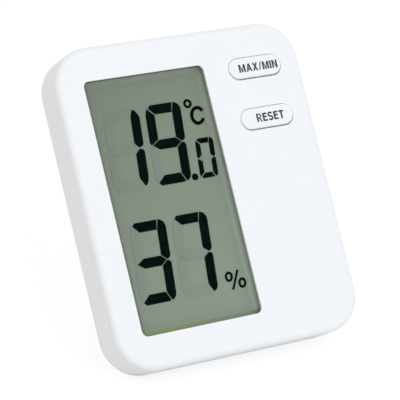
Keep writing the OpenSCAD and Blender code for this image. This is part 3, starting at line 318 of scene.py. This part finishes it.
def rounded_outline(left, right, low, high, radius, steps=6):
    """Corner points (x, z) of a rectangle with round corners, anticlockwise seen from the front."""
    outline = []
    centres = ((right - radius, low + radius), (right - radius, high - radius),
               (left + radius, high - radius), (left + radius, low + radius))
    for corner, (x, z) in enumerate(centres):
        for step in range(steps + 1):
            turn = math.radians(-90 + 90 * corner + 90 * step / steps)
            outline.append((x + radius * math.cos(turn), z + radius * math.sin(turn)))
    return outline


def skin(loops, ring):
    """Faces through equal loops of points, closed into a ring or capped at the first and the last."""
    size = len(loops[0])
    after = [(k, (k + 1) % len(loops)) for k in range(len(loops) if ring else len(loops) - 1)]
    faces = [(a * size + i, b * size + i, b * size + (i + 1) % size, a * size + (i + 1) % size)
             for a, b in after for i in range(size)]
    if not ring:
        faces += [tuple(range(size)), tuple(reversed(range((len(loops) - 1) * size, len(loops) * size)))]
    return faces


def seal_material():
    """Cured epoxy, grey-green, with painted shade that darkens it at the sides and the top, and a
    yellow-green painted glow at the bottom left where light falls in.
    """
    painted_glow_green, grey_green = (0.31, 0.4, 0.13), (0.29, 0.335, 0.25)
    painted_shade_side, spot = (0.2, 0.24, 0.18), (0.2, 0.25, 0.17)
    foot_ends, side_starts = 12.2 * MM, 12.8 * MM
    yellow_ends, grey_starts = -22 * MM, -2 * MM
    spot_size, spot_share = 0.5, 0.35
    material, tree, shader = new_material("display seal")
    above_foot = spread(tree, height_in_case(tree), 0, 1, foot_ends, side_starts)
    rightwards = spread(tree, case_distance(tree, case_right, 0), 0, 1, yellow_ends, grey_starts)
    # Painted light: the foot glows yellow-green at the left and fades to grey-green towards the right.
    foot = mix_colour(tree, rightwards, painted_glow_green, grey_green)
    # Painted shade: the sides and the top of the seal are darkened.
    painted_shade_sides = mix_colour(tree, above_foot, foot, painted_shade_side)
    spotted = mix_colour(tree, spread(tree, noise(tree, spot_size), 0, spot_share), painted_shade_sides, spot)
    tree.links.new(spotted, shader.inputs["Base Color"])
    shader.inputs["Roughness"].default_value = 0.5
    return material


# The seal is a thin frame round the display. It carries painted shade at its sides and top, and painted light
# along its foot.
seal_outer = rounded_outline(left=-36.2, right=10.1, low=9.4, high=95.0, radius=0.6)
seal_inner = rounded_outline(left=-32.8, right=9.4, low=12.4, high=93.8, radius=0.8)
seal_front, seal_back = 2.92, 2.98
seal_section = ((seal_outer, seal_front), (seal_outer, seal_back),
                (seal_inner, seal_back), (seal_inner, seal_front))
seal_loops = [[(x, y, z) for x, z in outline] for outline, y in seal_section]
lcd_seal = case_piece("lcd_seal", sum(seal_loops, []), skin(seal_loops, True), seal_material(), "case")

# Frame behind the display, moulded in one piece of plain white plastic. The board presses it
# against the glass.
holder_plastic = moulded_plastic("holder plastic", (0.72, 0.73, 0.72), (0.76, 0.77, 0.76),
                                 roughness=0.45, grain=0.3, depth=0.01)
finish(holder_plastic, "lcd_holder")

# Contact strip between the glass and the board: thin black conducting layers in grey silicone
# rubber, one on the other all along it, held by pressure alone.


def layered_rubber():
    """Black and grey layers of equal height that take turns up the strip."""
    black_layer, grey_layer, layer_pitch = (0.012, 0.012, 0.013), (0.16, 0.16, 0.165), 0.09 * MM
    black_ends, grey_starts = 0.03 * MM, 0.05 * MM
    material, tree, shader = new_material("layered contact rubber")
    layers = add_node(tree, "ShaderNodeMath", [(height_in_case(tree), 0)])
    layers.operation = "PINGPONG"
    layers.inputs[1].default_value = layer_pitch
    share = spread(tree, layers.outputs["Value"], 0, 1, black_ends, grey_starts)
    tree.links.new(mix_colour(tree, share, black_layer, grey_layer), shader.inputs["Base Color"])
    shader.inputs["Roughness"].default_value = 0.75
    relief(tree, shader, noise(tree, 0.2), 0.01)
    return material


finish(layered_rubber(), "lcd_rubber_strip")

# Main board: glass-fibre laminate with copper tracks under a green solder mask. Five small
# screws hold it on posts of the front half.


def solder_mask():
    """Green mask that is lighter and stands a little proud over the tracks."""
    weave_size, track_grid, track_height = 0.9, 2.6 * MM, 0.03
    material, tree, shader = new_material("green solder mask")
    flat = tree.nodes.new("ShaderNodeCombineXYZ")
    tree.links.new(case_distance(tree, case_right, 0), flat.inputs["X"])
    tree.links.new(height_in_case(tree), flat.inputs["Y"])
    tracks = add_node(tree, "ShaderNodeTexBrick", [(flat.outputs["Vector"], "Vector")],
                      Scale=1 / track_grid, Color1=(0, 0, 0, 1), Color2=(0, 0, 0, 1),
                      Mortar=(1, 1, 1, 1), Mortar_Size=0.07, Brick_Width=3.2, Row_Height=0.9)
    tracks.offset = 0.37
    tracks.squash = 1.6
    copper = tracks.outputs["Color"]
    weave = mix_colour(tree, noise(tree, weave_size, 4), (0.008, 0.085, 0.03), (0.012, 0.115, 0.045))
    tree.links.new(mix_colour(tree, copper, weave, (0.03, 0.2, 0.07)), shader.inputs["Base Color"])
    shader.inputs["Roughness"].default_value = 0.3
    relief(tree, shader, copper, track_height)
    return material


finish(solder_mask(), "main_board")

# Parts on the board: the chip under a cap of black resin, a quartz crystal in a drawn metal can,
# a capacitor in a shrunk sleeve, and ceramic chips with tinned ends, all soldered or cast on.
black_resin = moulded_plastic("black resin", (0.01, 0.01, 0.011), (0.014, 0.014, 0.015),
                              roughness=0.28, grain=1.4, depth=0.05)
finish(black_resin, "chip_cap")


def plated_metal(name, colour, roughness, brushing, grain=0.4):
    """Plated metal with fine drawing or turning marks along the case's width."""
    octaves, dulling, mark_depth = 4, 0.82, 0.004
    smoother, rougher = 0.06, 0.1
    material, tree, shader = new_material(name)
    shader.inputs["Metallic"].default_value = 1
    marks = noise(tree, grain, octaves, stretch=brushing)
    dull = tuple(dulling * c for c in colour)
    tree.links.new(mix_colour(tree, spread(tree, marks, 0, 1), colour, dull), shader.inputs["Base Color"])
    tree.links.new(spread(tree, marks, roughness - smoother, roughness + rougher), shader.inputs["Roughness"])
    relief(tree, shader, marks, mark_depth)
    return material


steel_can = plated_metal("drawn steel can", (0.62, 0.62, 0.6), roughness=0.3, brushing=(0.1, 1, 1))
finish(steel_can, "quartz_crystal")


def capacitor_sleeve():
    """Dark blue shrunk sleeve that leaves the can's bare metal top open."""
    sleeve_blue, faded_blue, bare_metal = (0.012, 0.02, 0.06), (0.0178, 0.027, 0.073), (0.55, 0.56, 0.57)
    sleeve_ends, top_starts = -0.3 * MM, -0.2 * MM
    can_top = max(v.co.dot(case_back) for v in nodes["round_capacitor"].data.vertices)
    material, tree, shader = new_material("capacitor sleeve")
    bare = spread(tree, case_distance(tree, case_back, can_top), 0, 1, sleeve_ends, top_starts)
    worn = mix_colour(tree, noise(tree, 3, 3), sleeve_blue, faded_blue)
    tree.links.new(mix_colour(tree, bare, worn, bare_metal), shader.inputs["Base Color"])
    tree.links.new(bare, shader.inputs["Metallic"])
    tree.links.new(spread(tree, noise(tree, 0.8, 3), 0.3, 0.43), shader.inputs["Roughness"])
    return material


finish(capacitor_sleeve(), "round_capacitor")
ceramic = moulded_plastic("ceramic chips", (0.34, 0.25, 0.16), (0.42, 0.34, 0.25),
                          roughness=0.5, grain=0.3, depth=0.01)
finish(ceramic, "chip_parts")

# Sensors behind the vents: a slotted white housing over the humidity sensor's film, and a
# thermistor, a glazed bead on two tinned wires.
sensor_housing = moulded_plastic("sensor housing", (0.68, 0.7, 0.7), (0.72, 0.73, 0.73),
                                 roughness=0.5, grain=0.2, depth=0.01)
bead_glaze = moulded_plastic("thermistor glaze", (0.015, 0.022, 0.022), (0.03, 0.03, 0.028),
                             roughness=0.2, grain=0.8, depth=0.02)
finish(sensor_housing, "humidity_sensor")
finish(bead_glaze, "temperature_sensor")

# Screws: small pan heads with a cross recess, zinc plated. Five hold the board and four hold the
# halves of the case together, in counterbores of the back.


def soften(name, radius, steps=3):
    """Rounds a CAD node's sharp edges by radius millimetres and keeps its flat faces flat."""
    rounded_from = math.radians(40)
    node = nodes[name]
    even_faces(node)
    bevel = node.modifiers.new("soft edges", "BEVEL")
    bevel.width = radius * MM
    bevel.segments = steps
    bevel.limit_method = "ANGLE"
    bevel.angle_limit = rounded_from
    normals = node.modifiers.new("even shading", "WEIGHTED_NORMAL")
    normals.keep_sharp = True


zinc_plating = plated_metal("zinc plating", (0.6, 0.61, 0.62), roughness=0.32, brushing=(1, 1, 1), grain=0.25)
keep_crisp("board_screws")
soften("case_screws", radius=0.12, steps=2)
finish(zinc_plating, "board_screws", "case_screws")

# Buttons: two long white ABS caps with round ends, moulded with their plungers. They ride on the
# rubber pads and are caught behind the front wall by their flanges.
cap_abs = moulded_plastic("white button ABS", (0.86, 0.89, 0.93), (0.875, 0.9, 0.935),
                          roughness=0.42, grain=0.12, depth=0.004)
for cap in ("max_min_button", "reset_button"):
    soften(cap, radius=0.12, steps=2)
    finish(cap_abs, cap)

# Key pads: two hollow cones of grey silicone rubber that stand on the board under the caps. Each
# gives way under its plunger and springs back.
grey_silicone = moulded_plastic("silicone pad", (0.5, 0.5, 0.5), (0.54, 0.54, 0.53),
                                roughness=0.7, grain=0.3, depth=0.01)
finish(grey_silicone, "max_min_pad", "reset_pad")


def squashed_pad(node_name):
    """A copy of the pad, with its own mesh, that rides on the case in place of the CAD node."""
    pad = bpy.data.objects.new(node_name + "_rubber", nodes[node_name].data.copy())
    bpy.context.scene.collection.objects.link(pad)
    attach(pad, "case")
    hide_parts(node_name)
    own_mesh(pad)


squashed_pad("max_min_pad")
squashed_pad("reset_pad")

# Labels: one word on each cap, that says what the button does. It is pad printed in dark ink, a
# thin film on the plastic.


def printing_ink():
    """Pad-printed ink: nearly black blue-grey, with the slight unevenness of a thin film."""
    thick_ink, thin_ink, patch_size = (0.018, 0.02, 0.036), (0.034, 0.037, 0.058), 0.25
    material, tree, shader = new_material("dark printing ink")
    film = noise(tree, patch_size, 3)
    tree.links.new(mix_colour(tree, film, thick_ink, thin_ink), shader.inputs["Base Color"])
    tree.links.new(spread(tree, film, 0.4, 0.6), shader.inputs["Roughness"])
    return material


def stroke_outline(points, half):
    """Outline of a stroke of that half width along points, its corners mitred."""
    left_side, right_side = [], []
    for k, (x, z) in enumerate(points):
        before, after = points[max(k - 1, 0)], points[min(k + 1, len(points) - 1)]
        heading = math.atan2(after[1] - before[1], after[0] - before[0])
        left_side.append((x - half * math.sin(heading), z + half * math.cos(heading)))
        right_side.append((x + half * math.sin(heading), z - half * math.cos(heading)))
    return left_side + right_side[::-1]


def bend(x, z, half_w, half_h, start, end, steps=10):
    """Points along part of an oval, from the start angle to the end angle in degrees."""
    turns = [math.radians(start + (end - start) * step / steps) for step in range(steps + 1)]
    return [(x + half_w * math.cos(turn), z + half_h * math.sin(turn)) for turn in turns]


def capital(letter):
    """Width and outlines of a plain bold capital of height 1; an outline inside another is a hole."""
    stem, bar = 0.24, 0.205
    if letter == "I":
        return stem, [[(0, 0), (stem, 0), (stem, 1), (0, 1)]]
    if letter == "/":
        return 0.42, [[(0, 0), (0.16, 0), (0.42, 1), (0.26, 1)]]
    if letter == "T":
        stem_from, stem_to = 0.35 - stem / 2, 0.35 + stem / 2
        return 0.7, [[(stem_from, 0), (stem_to, 0), (stem_to, 1 - bar), (0.7, 1 - bar),
                      (0.7, 1), (0, 1), (0, 1 - bar), (stem_from, 1 - bar)]]
    if letter == "E":
        return 0.63, [[(0, 0), (0.63, 0), (0.63, bar), (stem, bar), (stem, 0.44), (0.58, 0.44),
                       (0.58, 0.44 + bar), (stem, 0.44 + bar), (stem, 1 - bar), (0.62, 1 - bar),
                       (0.62, 1), (0, 1)]]
    if letter == "N":
        return 0.74, [[(0, 0), (stem, 0), (stem, 0.66), (0.74 - stem, 0), (0.74, 0), (0.74, 1),
                       (0.74 - stem, 1), (0.74 - stem, 0.34), (stem, 1), (0, 1)]]
    if letter == "M":
        right = [(0.93 - stem, 0.72), (0.93 - stem, 0), (0.93, 0), (0.93, 1), (0.67, 1), (0.465, 0.33)]
        left = [(0.93 - x, z) for x, z in reversed(right[:-1])]
        return 0.93, [right + left + [(0.38, 0), (0.55, 0)]]
    if letter == "X":
        right = [(0.51, 0), (0.75, 0), (0.5, 0.51), (0.735, 1), (0.5, 1), (0.375, 0.71)]
        left = [(0.75 - x, z) for x, z in reversed(right[:-1])]
        return 0.75, [right + left + [(0.375, 0.3)]]
    if letter == "A":
        outer = [(0, 0), (0.225, 0), (0.285, 0.2), (0.515, 0.2), (0.575, 0), (0.8, 0),
                 (0.515, 1), (0.285, 1)]
        return 0.8, [outer, [(0.335, 0.37), (0.465, 0.37), (0.4, 0.64)]]
    if letter == "R":
        outer = [(0, 0), (stem, 0), (stem, 0.4), (0.32, 0.4), (0.52, 0), (0.73, 0), (0.51, 0.43)]
        outer += bend(0.44, 0.71, 0.24, 0.29, -62, 90, 12) + [(0, 1)]
        hole = [(stem, 0.55), (0.4, 0.55)] + bend(0.41, 0.7, 0.095, 0.15, -90, 90, 8) + [(stem, 0.85)]
        return 0.73, [outer, hole]
    upper = bend(0.35, 0.715, 0.255, 0.21, 25, 262, 14)
    lower = bend(0.35, 0.285, 0.265, 0.21, 82, -155, 14)
    return 0.7, [stroke_outline(upper + lower, bar / 2 + 0.005)]


def printed_word(name, word, left, right, low, high, ink, body):
    """The word in plain capitals, a thin film of ink on a cap's face, fitted between those limits."""
    lettering = bpy.data.curves.new(name, "CURVE")
    lettering.dimensions = "2D"
    lettering.fill_mode = "BOTH"
    lettering.extrude = 1
    letter_gap = 0.11
    pen = 0
    for letter in word:
        width, outlines = capital(letter)
        for outline in outlines:
            spline = lettering.splines.new("POLY")
            spline.points.add(len(outline) - 1)
            for point, (x, z) in zip(spline.points, outline):
                point.co = (pen + x, z, 0, 1)
            spline.use_cyclic_u = True
        pen += width + letter_gap
    pattern = bpy.data.objects.new(name + "_pattern", lettering)
    bpy.context.scene.collection.objects.link(pattern)
    bpy.context.view_layer.update()
    filled = pattern.evaluated_get(bpy.context.evaluated_depsgraph_get())
    mesh = bpy.data.meshes.new_from_object(filled)
    bpy.data.objects.remove(pattern)
    across = (right - left) / (pen - letter_gap)
    cap_face, ink_film, rooted = -0.6, 0.015, 0.02
    join_reach = 0.001 * MM
    for v in mesh.vertices:
        depth = cap_face - ink_film if v.co.z > 0 else cap_face + rooted
        v.co = in_case(left + v.co.x * across, depth, low + v.co.y * (high - low))
    joined = bmesh.new()
    joined.from_mesh(mesh)
    bmesh.ops.remove_doubles(joined, verts=joined.verts, dist=join_reach)
    bmesh.ops.dissolve_degenerate(joined, edges=joined.edges, dist=join_reach)
    bmesh.ops.recalc_face_normals(joined, faces=joined.faces)
    joined.to_mesh(mesh)
    joined.free()
    mesh.materials.clear()
    mesh.materials.append(ink)
    label = bpy.data.objects.new(name, mesh)
    bpy.context.scene.collection.objects.link(label)
    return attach(label, body)


label_ink = printing_ink()
printed_word("max_min_label", "MAX/MIN", left=20.5, right=35.0, low=89.0, high=91.7,
             ink=label_ink, body="max_min_button")
printed_word("reset_label", "RESET", left=22.6, right=32.9, low=71.9, high=74.7,
             ink=label_ink, body="reset_button")

# Cell: one plain AAA cell, a steel can in a shrunk sleeve whose band marks the button's end.
# It drops in from behind, between a flat plate and a cone-shaped spring.


def cell_sleeve():
    """Sleeve in two plain colours, and the bare plated steel of the two ends."""
    sleeve_blue, band_grey, plated_steel = (0.045, 0.1, 0.17), (0.5, 0.52, 0.53), (0.6, 0.6, 0.58)
    foot_ends, sleeve_starts = 13.24 * MM, 13.32 * MM
    blue_ends, band_starts = 47.4 * MM, 47.6 * MM
    sleeve_ends, top_starts = 56.78 * MM, 56.86 * MM
    material, tree, shader = new_material("cell sleeve")
    height = height_in_case(tree)
    band = spread(tree, height, 0, 1, blue_ends, band_starts)
    printed = mix_colour(tree, band, sleeve_blue, band_grey)
    top = spread(tree, height, 0, 1, sleeve_ends, top_starts)
    foot = spread(tree, height, 1, 0, foot_ends, sleeve_starts)
    bare = add_node(tree, "ShaderNodeMath", [(top, 0), (foot, 1)])
    bare.operation = "MAXIMUM"
    sleeved = mix_colour(tree, bare.outputs["Value"], printed, plated_steel)
    tree.links.new(sleeved, shader.inputs["Base Color"])
    tree.links.new(bare.outputs["Value"], shader.inputs["Metallic"])
    tree.links.new(spread(tree, noise(tree, 1.5, 3), 0.26, 0.36), shader.inputs["Roughness"])
    relief(tree, shader, noise(tree, 5, 2), 0.02)
    return material


soften("battery", radius=0.35)
finish(cell_sleeve(), "battery")

# Contacts: a plate at each end of the bay, cut from nickel-plated spring steel, and a coiled
# spring welded to the lower one. Their lugs pass through the bay's wall.
nickel_plating = plated_metal("nickel plating", (0.66, 0.64, 0.6), roughness=0.26, brushing=(0.15, 1, 1))
finish(nickel_plating, "battery_plate_positive", "battery_plate_negative", "battery_spring")

# Leads: two short stranded wires, in red and in black soft insulation. Each is soldered to a
# contact's lug and to the board.
red_insulation = moulded_plastic("red insulation", (0.4, 0.012, 0.012), (0.47, 0.02, 0.018),
                                 roughness=0.4, grain=0.5, depth=0.01)
black_insulation = moulded_plastic("black insulation", (0.014, 0.014, 0.015), (0.02, 0.02, 0.021),
                                   roughness=0.4, grain=0.5, depth=0.01)
finish(red_insulation, "lead_red")
finish(black_insulation, "lead_black")

# Battery cover: an ABS lid with two toes below and a sprung latch above, moulded in one piece.
# Three low ribs and an arrow on its back show the thumb where to push.
keep_crisp("battery_cover")
soften("battery_cover_latch", radius=0.15, steps=2)
finish(white_abs, "battery_cover", "battery_cover_latch")


def raised(outline, middle, steps):
    """Loops of an outline that shrinks towards its middle as it rises, for the (depth, share) steps."""
    mid_x, mid_z = middle
    return [[(mid_x + (x - mid_x) * share, depth, mid_z + (z - mid_z) * share) for x, z in outline]
            for depth, share in steps]


def cover_marks():
    """Points and faces of the ribs and the arrow together."""
    cover_x, back_face = 25.5, 16.0
    rib_w, rib_h, rib_round = 8.0, 1.0, 0.49
    rib_count, rib_pitch, first_rib = 3, 2.0, 50.0
    arrow_half_w, arrow_base, arrow_tip, arrow_middle = 2.6, 47.0, 43.0, 45.67
    rounding, rounding_steps = 0.14, 4
    rise = ((back_face - 0.2, 1), (back_face + 0.12, 1), (back_face + 0.22, 0.94), (back_face + 0.25, 0.84))
    marks = []
    for number in range(rib_count):
        z = first_rib + number * rib_pitch
        pill = rounded_outline(cover_x - rib_w / 2, cover_x + rib_w / 2,
                               z - rib_h / 2, z + rib_h / 2, rib_round)
        marks.append(raised(pill, (cover_x, z), rise))
    arrow = [(cover_x - arrow_half_w, arrow_base), (cover_x, arrow_tip), (cover_x + arrow_half_w, arrow_base)]
    rounded_arrow = []
    for here, corner in enumerate(arrow):
        before, beyond = arrow[here - 1], arrow[(here + 1) % len(arrow)]
        start = [c + rounding * (b - c) for c, b in zip(corner, before)]
        end = [c + rounding * (b - c) for c, b in zip(corner, beyond)]
        for step in range(rounding_steps + 1):
            t = step / rounding_steps
            rounded_arrow.append(tuple((1 - t) ** 2 * s + 2 * t * (1 - t) * c + t ** 2 * e
                                       for s, c, e in zip(start, corner, end)))
    marks.append(raised(rounded_arrow, (cover_x, arrow_middle), rise))
    points, faces = [], []
    for loops in marks:
        faces += [tuple(len(points) + i for i in face) for face in skin(loops, False)]
        points += sum(loops, [])
    return points, faces


cover_grip = case_piece("battery_cover_grip", *cover_marks(), white_abs, "battery_cover")

# Stand: a flat ABS leg on two moulded pins, with a finger notch in its foot. It snaps into the
# recess of the back and opens until its heel meets the stop.
keep_crisp("stand")
leg_abs = moulded_plastic("white leg ABS", (0.84, 0.88, 0.92), (0.86, 0.89, 0.925),
                          roughness=0.52, grain=0.16, depth=0.007)
finish(leg_abs, "stand")

# Table and backdrop: one wide floor of matt white paint, on which the object stands. What is seen
# of it directly is white, and keeps the object's soft shadow.
floor_half = 6.0
shadow_grey, white_level = (0.26, 0.26, 0.26, 1), 0.8
floor_corners = [(-floor_half, -floor_half, 0), (floor_half, -floor_half, 0),
                 (floor_half, floor_half, 0), (-floor_half, floor_half, 0)]
floor_mesh = bpy.data.meshes.new("floor")
floor_mesh.from_pydata(floor_corners, [], [(0, 1, 2, 3)])
floor = bpy.data.objects.new("floor", floor_mesh)
bpy.context.scene.collection.objects.link(floor)


def seen_directly(tree):
    """1 for what the camera sees directly, in a reflection or through glass, otherwise 0."""
    path = tree.nodes.new("ShaderNodeLightPath").outputs
    glossy = add_node(tree, "ShaderNodeMath", [(path["Is Camera Ray"], 0), (path["Is Glossy Ray"], 1)])
    glossy.operation = "MAXIMUM"
    seen = add_node(tree, "ShaderNodeMath", [(glossy.outputs["Value"], 0), (path["Is Transmission Ray"], 1)])
    seen.operation = "MAXIMUM"
    return seen.outputs["Value"]


floor_paint, floor_tree, floor_shader = new_material("white table")
floor_tint = mix_colour(floor_tree, noise(floor_tree, 40, 3), (0.84, 0.84, 0.84), (0.86, 0.86, 0.86))
floor_tree.links.new(floor_tint, floor_shader.inputs["Base Color"])
floor_shader.inputs["Roughness"].default_value = 1
floor_shader.inputs["Specular IOR Level"].default_value = 0
shadow_part = add_node(floor_tree, "ShaderNodeBsdfDiffuse", Color=shadow_grey)
white_part = add_node(floor_tree, "ShaderNodeEmission", Color=(1, 1, 1, 1), Strength=white_level)
both_parts = floor_tree.nodes.new("ShaderNodeAddShader")
floor_tree.links.new(shadow_part.outputs["BSDF"], both_parts.inputs[0])
floor_tree.links.new(white_part.outputs["Emission"], both_parts.inputs[1])
shown = floor_tree.nodes.new("ShaderNodeMixShader")
floor_tree.links.new(seen_directly(floor_tree), shown.inputs["Fac"])
floor_tree.links.new(floor_shader.outputs["BSDF"], shown.inputs[1])
floor_tree.links.new(both_parts.outputs["Shader"], shown.inputs[2])
floor_tree.links.new(shown.outputs["Shader"], floor_tree.nodes["Material Output"].inputs["Surface"])
floor_mesh.materials.append(floor_paint)

# Light: an even, faintly warm room whose backdrop is white where it is seen directly, and one
# large, cooler lamp before the front face, which lifts it.
room_level, room_colour = 0.815, (1, 0.957, 0.915)
lamp_power, lamp_colour, lamp_size = 7.1, (0.76, 0.87, 1), 1.0
lamp_distance, lamp_above = 1.6, math.radians(32)
world = bpy.data.worlds.new("plain studio")
bpy.context.scene.world = world
world.use_nodes = True
backdrop = world.node_tree.nodes["Background"]
room_tint = mix_colour(world.node_tree, seen_directly(world.node_tree), room_colour, (1, 1, 1))
world.node_tree.links.new(room_tint, backdrop.inputs["Color"])
level = spread(world.node_tree, seen_directly(world.node_tree), room_level, 1, 0, 1)
world.node_tree.links.new(level, backdrop.inputs["Strength"])

lamp_data = bpy.data.lights.new("soft lamp", "AREA")
lamp_data.shape = "DISK"
lamp_data.size = lamp_size
lamp_data.energy = lamp_power
lamp_data.color = lamp_colour
lamp = bpy.data.objects.new("soft lamp", lamp_data)
bpy.context.scene.collection.objects.link(lamp)
lamp.location = Vector((0, -math.cos(lamp_above), math.sin(lamp_above))) * lamp_distance
lamp.rotation_euler = (-lamp.location).to_track_quat("-Z", "Y").to_euler()

# Camera: in front, to the left and a little above, far off with a long lens. Its place comes
# from the case's edges and the window's corners.
aim = Vector((-0.00438, -0.00793, 0.05052))
distance, to_left, above = 0.6628, math.radians(28.636), math.radians(19.398)
sensor_width, lens = 36, 186.65
camera_data = bpy.data.cameras.new("camera")
camera_data.sensor_width = sensor_width
camera_data.lens = lens
camera = bpy.data.objects.new("camera", camera_data)
bpy.context.scene.collection.objects.link(camera)
camera.location = aim + distance * Vector((-math.sin(to_left) * math.cos(above),
                                           -math.cos(to_left) * math.cos(above), math.sin(above)))
camera.rotation_euler = (aim - camera.location).to_track_quat("-Z", "Y").to_euler()
bpy.context.scene.camera = camera
bpy.context.scene.view_settings.view_transform = "Standard"
